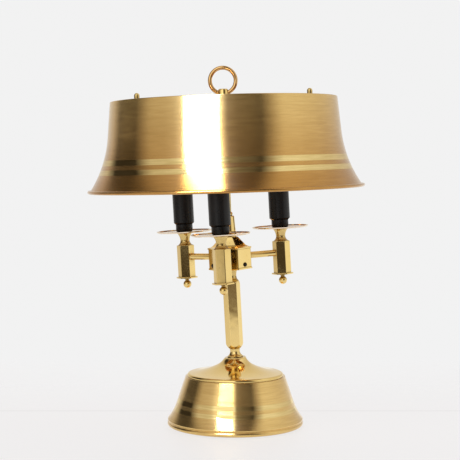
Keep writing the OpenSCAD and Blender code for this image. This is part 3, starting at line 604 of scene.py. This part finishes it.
hub = {
    "corner": 30.0, "floorCorner": 31.0, "floor": (220.8, 223.2), "wall": (223.2, 249.6),
    "eave": 27.02, "eaveTop": 251.6, "brim": (26.92, 261.85, 9.9, 260.0, 218.0), "ridge": (10.96, 266.2),
    "screwHeight": 227.4, "screwRadius": 3.1, "screwProud": 2.4, "screwDome": 2.4,
    "slotWide": 0.8, "slotDeep": 0.9, "slotEdge": 0.12, "slotFloor": -0.02, "slotTurns": [25, 75, 125],
}


def hexRows(outline):
    return [(flat, 999.0 if flat > 0 else 0.0, z) for flat, z in outline]


def slab(flat, low, high, soft):
    return softened([(0.0, low), (flat, low), (flat, high), (0.0, high)], soft, 4)


def makeHub():
    h = hub
    plate = hexGrid(hexRows(slab(h["floorCorner"] * flatShare, *h["floor"], 0.35)), 30, 20, 150)
    buildPiece("hubFloor", plate, ["mirrorBrass"], alongArm(0), "lamp", ["hub_floor"])
    wall = hexGrid(hexRows(slab(h["corner"] * flatShare, *h["wall"], 0.25)), 30, 24, 190)
    buildPiece("hubBody", wall, ["hubBrass"], alongArm(0), "lamp", ["hub_body"])
    bx, bz, br, b0, b1 = h["brim"]
    sweep = arc(bx, bz, br, b0, b1, 18)
    outline = softened([(0.0, h["wall"][1]), (h["eave"], h["wall"][1]), (h["eave"], h["eaveTop"]),
                        (sweep[0][0], sweep[0][1])], 0.45, 4) + sweep[1:]
    outline += [h["ridge"], (0.0, h["ridge"][1])]
    roof = hexGrid(hexRows(outline), 30, 24, 170)
    buildPiece("hubRoof", roof, ["mirrorBrass"], alongArm(0), "lamp", ["hub_roof"])


# Domed head with a slot across it
def screwGrid(h):
    rows = []
    turns = np.arange(64) / 64 * 2 * math.pi
    for share in np.linspace(0, 1, 20):
        r = h["screwRadius"] * share
        x, y = r * np.cos(turns), r * np.sin(turns)
        z = h["screwProud"] * np.sqrt(max(0.0, 1 - share ** h["screwDome"])) * np.ones(64)
        cut = np.clip((h["slotWide"] / 2 - np.abs(y)) / h["slotEdge"] + 0.5, 0, 1)
        z = np.maximum(z - cut * h["slotDeep"], h["slotFloor"])
        rows.append(np.stack([x, y, z], axis=1))
    return np.array(rows)


def makeHubScrews():
    h = hub
    grids, places = [], []
    for i in range(3):
        turn = alongArm(i) @ Matrix.Rotation(math.radians(60), 4, "Z")
        out = Matrix.Translation((h["corner"] * flatShare, 0, h["screwHeight"]))
        grids.append(screwGrid(h))
        places.append(turn @ out @ Matrix.Rotation(math.radians(90), 4, "Y")
                      @ Matrix.Rotation(math.radians(h["slotTurns"][i]), 4, "Z"))
    buildPiece("hubScrews", grids, ["screwBlack"], places, "lamp", ["hub_screws"])


makeHub()
makeHubScrews()
print("stem and hub made")

# Sleeve on the roof

sleeve = {"flange": [(0.0, 266.2), (11.1, 266.2), (11.1, 267.4), (0.0, 267.4)],
          "taper": [(0.0, 266.8), (10.7, 266.8), (8.8, 295.0), (7.8, 296.0), (5.7, 296.0), (5.7, 298.6),
                    (4.99, 298.6)]}


def makeSleeve():
    flange = turnedGrid(softened(sleeve["flange"], 0.35, 3), 96)
    taper = turnedGrid(softened(sleeve["taper"], 0.35, 3), 96)
    buildPiece("sleeve", [flange, taper], ["mirrorBrass"], [leaned, onRod], "lamp", ["sleeve"])


makeSleeve()

# Collet nut that grips the rod

collet = {"foot": 296.0, "clear": 0.02, "height": 5.0, "radius": 6.7, "sag": 0.9, "bore": 5.0, "edge": 0.3}


def makeColletNut():
    c = collet
    low, high, edge = c["foot"] + c["clear"], c["foot"] + c["height"], c["edge"]
    sag = [(c["radius"] - c["sag"] * (2 * t - 1) ** 2, c["foot"] + c["height"] * t)
           for t in np.linspace(0.03, 0.97, 15)]
    ring = [(c["bore"], low), (sag[0][0] - edge, low)] + sag
    ring += [(sag[-1][0] - edge, high), (c["bore"] + edge, high), (c["bore"], high - edge)]
    buildPiece("colletNut", turnedGrid(ring, 96), ["mirrorBrass"], onRod, "collet", ["collet_nut"],
               closed=True)


makeColletNut()

# Rod, and the collar on it that carries the shade

rod = {"radius": 4.95, "foot": 244.5, "top": 460.4, "collar": (10.0, 439.85, 444.85)}


def makeRod():
    r = rod
    bar = [(0.0, r["foot"]), (r["radius"], r["foot"]), (r["radius"], r["top"]), (0.0, r["top"])]
    bar = softened(bar, 0.5, 4)
    buildPiece("rod", turnedGrid(bar, 72), ["mirrorBrass"], onRod, "rod", ["rod"])
    cr, low, high = r["collar"]
    ring = softened([(r["radius"], low), (cr, low), (cr, high), (r["radius"], high)], 0.4, 3)
    buildPiece("rodCollar", turnedGrid(ring, 72), ["mirrorBrass"], onRod, "rod", ["rod_collar"],
               closed=True)


makeRod()
print("sleeve and rod made")

# Arms, columns, foot plates, ball finials and pans

arms = {
    "radius": 4.6, "from": 25.98, "to": [68.80, 69.09, 69.09], "height": 238.4,
    # fillets against hub and column: how far out, how far from the end
    "root": [(0.5, 0.0), (0.12, 0.35), (0.0, 1.0)],
    "tip": [(0.0, 1.0), (0.12, 0.35), (0.45, 0.0)],
}
column = {
    "corner": 12.6, "foot": 209.4, "hexTop": 254.4, "turned": 12.45, "waistHeight": 261.8,
    "lowArc": (14.0, 7.3), "highArc": (22.1, 15.4), "cup": 10.4, "cupTop": 273.6,
    "turns": [-3.7, 0.0, 0.0], "plateCorner": 15.5, "plate": (207.4, 209.4), "ball": (198.7, 5.8),
    "neck": 2.7, "collar": (3.9, 205.6),
}
pan = {"outline": [(5.0, 273.6), (37.5, 273.6), (39.5, 274.4), (40.5, 276.0), (39.7, 276.0), (38.7, 274.96),
                   (37.1, 274.4), (5.0, 274.4)]}


def makeArm(i):
    a = arms
    long = a["to"][i] - a["from"]
    outline = [(0.0, 0.0)] + [(a["radius"] + proud, z) for proud, z in a["root"]]
    outline += [(a["radius"] + proud, long - z) for proud, z in a["tip"]] + [(0.0, long)]
    start = Matrix.Translation((a["from"], 0, a["height"]))
    where = alongArm(i) @ start @ Matrix.Rotation(math.radians(90), 4, "Y")
    buildPiece("arm." + sides[i], turnedGrid(outline, 64), ["mirrorBrass"], where, "lamp",
               ["arm_" + sides[i]])


def makeColumn(i):
    c = column
    lx, lr = c["lowArc"]
    hx, hr = c["highArc"]
    lowSweep = math.degrees(math.acos((lx - c["turned"]) / lr))
    highSweep = math.degrees(math.acos((hx - c["cup"]) / hr))
    # the bar stays six-sided where the turned outline runs outside its corners
    edge = c["corner"]
    turned = [(0.0, c["foot"]), (edge + 0.5, c["foot"])]
    turned += [(edge + 1.2, z) for z in np.linspace(c["foot"] + 0.1, c["hexTop"] - 1.2, 6)]
    turned += [(edge + 0.5, c["hexTop"] - 0.6), (edge + 0.1, c["hexTop"] - 0.2)]
    turned += arc(lx, c["waistHeight"], lr, 180 + lowSweep, 180, 26)
    turned += arc(hx, c["waistHeight"], hr, 180, 180 - highSweep, 20)[1:]
    turned += [(c["cup"], c["cupTop"] - 0.25), (c["cup"] - 0.25, c["cupTop"]), (0.0, c["cupTop"])]
    flat = c["corner"] * flatShare
    corner = 30 + c["turns"][i]
    grid = hexGrid([(flat if r > 0 else 0.0, r, z) for r, z in turned], corner, 16, 120)
    buildPiece("column." + sides[i], grid, ["mirrorBrass"], atColumn(i), "lamp", ["column_" + sides[i]])
    plate = hexGrid(hexRows(slab(c["plateCorner"] * flatShare, *c["plate"], 0.4)), corner, 14, 110)
    buildPiece("footPlate." + sides[i], plate, ["mirrorBrass"], atColumn(i), "lamp",
               ["foot_plate_" + sides[i]])
    ballZ, ballR = c["ball"]
    collarR, collarZ = c["collar"]
    top = c["plate"][0]
    meet = math.degrees(math.acos((c["neck"] + 0.25) / ballR))
    knob = arc(0.0, ballZ, ballR, -90, meet, 30)
    knob += [(c["neck"], knob[-1][1] + 0.5), (c["neck"], collarZ - 0.3), (c["neck"] + 0.3, collarZ),
             (collarR - 0.3, collarZ), (collarR, collarZ + 0.3), (collarR, top), (0.0, top)]
    buildPiece("ballFinial." + sides[i], turnedGrid(knob, 72), ["mirrorBrass"], atColumn(i), "lamp",
               ["ball_finial_" + sides[i]])
    buildPiece("dripPan." + sides[i], turnedGrid(softened(pan["outline"], 0.25, 2), 128), ["panBrass"],
               atColumn(i), "lamp", ["drip_pan_" + sides[i]], closed=True)


# Lampholders

holder = {
    "foot": 274.4, "capRadius": 12.1, "capRound": 2.6, "capTop": 285.4, "sleeveFoot": 12.3, "radius": 14.7,
    "shoulder": 287.6, "top": 332.4, "mouth": 9.4, "bore": 7.5, "shellTop": 328.4, "shellFoot": 304.4,
    "inside": 9.4, "threadPitch": 2.82, "threadDeep": 0.19, "shellMiddle": 7.22, "shellOutside": 7.48,
}


def makeHolder(i):
    h = holder
    r, rounding = h["capRadius"], h["capRound"]
    cap = [(0.0, h["foot"])] + arc(r - rounding, h["foot"] + rounding, rounding, -90, 0, 8)
    cap += [(r, h["capTop"] - 0.25), (r - 0.25, h["capTop"]), (0.0, h["capTop"])]
    buildPiece("holderCap." + sides[i], turnedGrid(cap, 96), ["holderBlack"], atColumn(i), "lamp",
               ["holder_cap_" + sides[i]])
    tube = [(h["inside"], h["capTop"]), (h["sleeveFoot"], h["capTop"]), (h["radius"], h["shoulder"]),
            (h["radius"], h["top"] - 0.8), (h["radius"] - 0.8, h["top"]), (h["mouth"], h["top"]),
            (h["bore"], h["shellTop"]), (h["bore"], h["shellFoot"]), (h["inside"], h["shellFoot"])]
    tube = softened(tube, 0.35, 3)
    buildPiece("holderSleeve." + sides[i], turnedGrid(tube, 112), ["holderBlack"], atColumn(i), "lamp",
               ["holder_sleeve_" + sides[i]], closed=True)
    # rolled thread inside the shell
    turns = np.arange(96) / 96 * 2 * math.pi
    outside = h["shellOutside"]
    rows = [np.stack([outside * np.cos(turns), outside * np.sin(turns), np.full(96, z)], axis=1)
            for z in (h["shellFoot"], h["shellTop"])]
    for z in np.linspace(h["shellTop"], h["shellFoot"], 86):
        ripple = h["threadDeep"] * np.sin(2 * math.pi * z / h["threadPitch"] - turns)
        deep = h["shellMiddle"] + ripple
        rows.append(np.stack([deep * np.cos(turns), deep * np.sin(turns), np.full(96, z)], axis=1))
    buildPiece("threadShell." + sides[i], np.array(rows), ["shellBrass"], atColumn(i), "lamp",
               ["thread_shell_" + sides[i]], closed=True)


for side in range(3):
    makeArm(side)
    makeColumn(side)
    makeHolder(side)
print("arms, columns and lampholders made")

# Shade

shade = {
    "topRadius": 158.5, "top": 458.6, "topRound": 1.1, "flareFrom": (163.16, 410.2),
    "flareCentre": (322.42, 425.53), "flareRadius": 160.0, "flareAngles": (5.5, 33.87),
    "innerAngles": (34.02, 5.5), "bead": (191.35, 334.62, 2.5), "roll": (135.6, -199.5),
    "lipRadius": 124.0, "sheet": 1.0, "brightFrom": [(80.4, 88.4), (94.6, 102.2)],
}
studs = {"reach": 134.5, "foot": 4.1, "footHigh": 1.2, "edge": 0.2, "radius": 3.7, "height": 9.2}


def makeShade():
    s = shade
    top = softened([(s["lipRadius"], s["top"] - s["sheet"]), (s["lipRadius"], s["top"]),
                    (s["topRadius"], s["top"]), s["flareFrom"]], s["topRound"], 5)
    first = len(top) - 2
    side = flare(s["flareCentre"], s["flareRadius"], *s["flareAngles"], 40)
    beadR, beadZ, beadSize = s["bead"]
    roll = arc(beadR, beadZ, beadSize, *s["roll"], 26)
    inner = flare(s["flareCentre"], s["flareRadius"] + s["sheet"], *s["innerAngles"], 40)
    inner += [(s["topRadius"] - s["sheet"], s["top"] - s["sheet"])]
    outline = top[:-1] + side + roll[1:-1] + inner
    outline, marks = withBands(outline, first, first + 1 + len(side), s["brightFrom"])
    return buildPiece("shade", turnedGrid(outline, 288), ["shadeBrass", "bandBrass"], onShade, "shade",
                      ["shade"], marks, closed=True)


def makeCapNuts():
    n = studs
    dome = [(0.0, 0.0), (n["foot"], 0.0), (n["foot"], n["footHigh"] - n["edge"]),
            (n["foot"] - n["edge"], n["footHigh"]), (n["radius"], n["footHigh"])]
    dome += arc(0.0, n["height"] - n["radius"], n["radius"], 0, 90, 14)
    grids, places = [], []
    for i in range(3):
        grids.append(turnedGrid(dome, 48))
        places.append(onShade @ Matrix.Rotation(math.radians(90 + 120 * i), 4, "Z")
                      @ Matrix.Translation((n["reach"], 0, shade["top"])))
    buildPiece("capNuts", grids, ["mirrorBrass"], places, "shade", ["cap_nuts"])


brushedPieces.append(makeShade())
makeCapNuts()
print("shade made")

# Ring finial

finial = {"bossFoot": 447.55, "bossTop": 473.6, "footRadius": 9.0, "footHigh": 3.0, "edge": 0.3,
          "radius": 7.0, "neckHigh": 5.0, "round": 2.4, "bore": 5.05, "ringHeight": 485.0,
          "ringRadius": 18.0, "wire": 2.8}


def makeFinial():
    f = finial
    z, wide, edge = f["bossFoot"], f["footRadius"], f["edge"]
    outline = [(f["bore"], z), (wide - edge, z), (wide, z + edge), (wide, z + f["footHigh"] - edge),
               (wide - edge, z + f["footHigh"]), (f["radius"], z + f["neckHigh"])]
    outline += arc(f["radius"] - f["round"], f["bossTop"] - f["round"], f["round"], 0, 90, 8)
    outline += [(0.0, f["bossTop"])]
    buildPiece("ringBoss", turnedGrid(outline, 80), ["mirrorBrass"], onRod, "finial", ["ring_boss"])
    wire = [(f["ringRadius"] + f["wire"] * math.cos(a), f["wire"] * math.sin(a))
            for a in np.arange(36) / 36 * 2 * math.pi]
    where = onRod @ Matrix.Translation((0, 0, f["ringHeight"])) @ Matrix.Rotation(math.radians(90), 4, "X")
    buildPiece("ring", turnedGrid(wire, 144), ["ringBrass"], where, "finial", ["ring"],
               closed=True)


makeFinial()

# Pieces that stay as they are and only take their finish

slotFinish = {
    "polished_brass": "mirrorBrass", "brushed_brass": "mirrorBrass", "plated_steel": "zincSteel",
    "cast_iron": "ironGrey", "felt": "feltGreen", "black_rubber": "grommetRubber",
    "black_screws": "screwBlack", "black_bakelite": "holderBlack", "white_plastic": "leadPlastic",
    "ceramic": "ceramicWhite", "contact_brass": "shellBrass", "wire": "leadPlastic",
}
for part in frame["record"]["subparts"]:
    solid = frame["nodes"][part["node"]]
    if solid.hide_render:
        continue
    solid.data.materials.clear()
    solid.data.materials.append(finishes[slotFinish[part["material_slot"]]])
print("solids finished")


# Table, studio and light

table = {"back": 0.103, "front": -1.40, "half": 1.6, "reach": 2.2, "depth": 1.6, "below": 0.0002,
         "lineWide": (0.001, 0.006), "line": 0.93, "white": (0.15, 0.151, 0.155), "darkest": 0.99,
         "clouds": 3.0, "glow": (0.725, 0.717, 0.723), "rough": 0.6, "fadeBack": (0.01, 0.5),
         "fadeFront": 0.05, "fadeSide": 0.5}


def makeTable():
    t = table
    reach, depth = t["reach"], t["depth"]
    corners = [(-reach, -reach), (reach, -reach), (reach, depth), (-reach, depth)]
    mesh = bpy.data.meshes.new("tableTop")
    mesh.from_pydata([(x, y, -t["below"]) for x, y in corners], [], [[0, 1, 2, 3]])
    top = bpy.data.objects.new("tableTop", mesh)
    bpy.context.scene.collection.objects.link(top)
    finish, tree, shader = startFinish("tableWhite")
    here = addNode(tree, "SeparateXYZ", {"Vector": place(tree)})
    mottle = noise(tree, place(tree), t["clouds"], detail=2.0)
    tones = {"dark": tuple(c * t["darkest"] for c in t["white"]), "light": t["white"]}
    # the edge where the table meets the backdrop
    fromEdge = compute(tree, "ABSOLUTE", compute(tree, "SUBTRACT", here.outputs["Y"], t["back"]))
    line = spread(tree, fromEdge, *t["lineWide"], t["line"], 1.0)
    colour = mixed(tree, 1.0, mottled(tree, mottle, tones), line, "MULTIPLY")
    tree.links.new(colour, shader.inputs["Base Color"])
    shader.inputs["Roughness"].default_value = t["rough"]
    glow = mixed(tree, 1.0, (*t["glow"], 1), line, "MULTIPLY")
    tree.links.new(glow, shader.inputs["Emission Color"])
    shader.inputs["Emission Strength"].default_value = 1.0
    # it fades into the white backdrop behind and stops short of the camera
    near, far = t["fadeBack"]
    behind = spread(tree, here.outputs["Y"], t["back"] + near, t["back"] + far, 1.0, 0.0)
    before = spread(tree, here.outputs["Y"], t["front"] - t["fadeFront"], t["front"] + t["fadeFront"])
    sideways = compute(tree, "ABSOLUTE", here.outputs["X"])
    sideways = spread(tree, sideways, t["half"] - t["fadeSide"], t["half"], 1.0, 0.0)
    shown = compute(tree, "MULTIPLY", compute(tree, "MULTIPLY", behind, before), sideways)
    tree.links.new(shown, shader.inputs["Alpha"])
    mesh.materials.append(finish)


# Walls by compass angle, from behind the lamp round by the left, and 0 is the front: one belt at
# the height of the lamp and one above it
studio = {
    "seen": (0.887, 0.887, 0.887),  # backdrop
    "level": [(-180, 0.93), (-150, 0.80), (-136, 0.64), (-112, 0.66), (-98, 0.40), (-88, 0.30),
              (-48, 0.34), (-42, 0.66), (-24, 0.72), (-19, 0.06), (0, 0.07), (6, 0.20), (12, 0.20),
              (44, 0.12), (54, 0.60), (90, 0.85), (102, 0.95), (180, 0.93)],
    "above": [(-180, 0.80), (-140, 0.58), (-126, 0.04), (-97, 0.04), (-86, 0.40), (-78, 0.64),
              (-60, 0.68), (-50, 0.80), (-42, 1.25), (-3, 1.25), (2, 0.30), (14, 0.17), (28, 0.12),
              (37, 0.06), (47, 0.42), (60, 0.88), (80, 0.88), (110, 0.74), (150, 0.64), (180, 0.80)],
    "levelTop": (-0.5, 2.0),  # degrees up at which one belt gives way to the other
    "warm": (0.80, 0.64),  # green and blue of the darkest walls; bright ones are nearly white
    "bright": 0.95,
    "bluest": 0.97,
    "zenith": (66.0, 76.0),
    "ceiling": 0.33,
}
softBox = {"x": (-450.0, -62.0), "y": -600.0, "z": (485.0, 1650.0), "power": 16.0}


def wallColour(value):
    share = min(1.0, value / studio["bright"])
    green, blue = studio["warm"]
    green += (1 - green) * share
    blue += (studio["bluest"] - blue) * share
    return (value, value * green, value * blue)


def makeStudio():
    world = bpy.data.worlds.new("studio")
    world.use_nodes = True
    bpy.context.scene.world = world
    tree = world.node_tree
    tree.nodes.clear()
    out = tree.nodes.new("ShaderNodeOutputWorld")
    way = addNode(tree, "SeparateXYZ", {"Vector": addNode(tree, "TexCoord").outputs["Generated"]})
    flip = compute(tree, "MULTIPLY", way.outputs["Y"], -1.0)
    compass = compute(tree, "DEGREES", compute(tree, "ARCTAN2", way.outputs["X"], flip))
    turn = spread(tree, compass, -180, 180)
    rise = compute(tree, "DEGREES", compute(tree, "ARCSINE", way.outputs["Z"]))
    level, above = [ramp(tree, turn, [((a + 180) / 360, wallColour(v)) for a, v in studio[name]])
                    for name in ("level", "above")]
    walls = mixed(tree, spread(tree, rise, *studio["levelTop"]), level, above)
    room = mixed(tree, spread(tree, rise, *studio["zenith"]), walls, (*wallColour(studio["ceiling"]), 1))
    seen = addNode(tree, "Background", {"Color": (*studio["seen"], 1), "Strength": 1.0})
    around = addNode(tree, "Background", {"Color": room, "Strength": 1.0})
    path = addNode(tree, "LightPath")
    pick = addNode(tree, "MixShader", {"Fac": path.outputs["Is Camera Ray"]})
    tree.links.new(around.outputs[0], pick.inputs[1])
    tree.links.new(seen.outputs[0], pick.inputs[2])
    tree.links.new(pick.outputs[0], out.inputs["Surface"])


# Tall soft box before the lamp to the left, high up
def makeSoftBox():
    b = softBox
    (left, right), (low, high) = b["x"], b["z"]
    light = bpy.data.lights.new("softBox", "AREA")
    light.shape = "RECTANGLE"
    light.size = (right - left) / 1000
    light.size_y = (high - low) / 1000
    light.energy = b["power"] * math.pi * light.size * light.size_y
    box = bpy.data.objects.new("softBox", light)
    middle = ((left + right) / 2, b["y"], (low + high) / 2)
    box.location = [c / 1000 for c in middle]
    box.rotation_euler = (math.radians(90), 0, 0)
    box.visible_camera = False
    bpy.context.scene.collection.objects.link(box)
    lit = bpy.data.collections.new("softBoxLights")  # it is turned on the brushed pieces alone
    for piece in brushedPieces:
        lit.objects.link(piece)
    box.light_linking.receiver_collection = lit


makeTable()
makeStudio()
makeSoftBox()
bpy.context.scene.view_settings.view_transform = "Standard"
print("table and studio made")
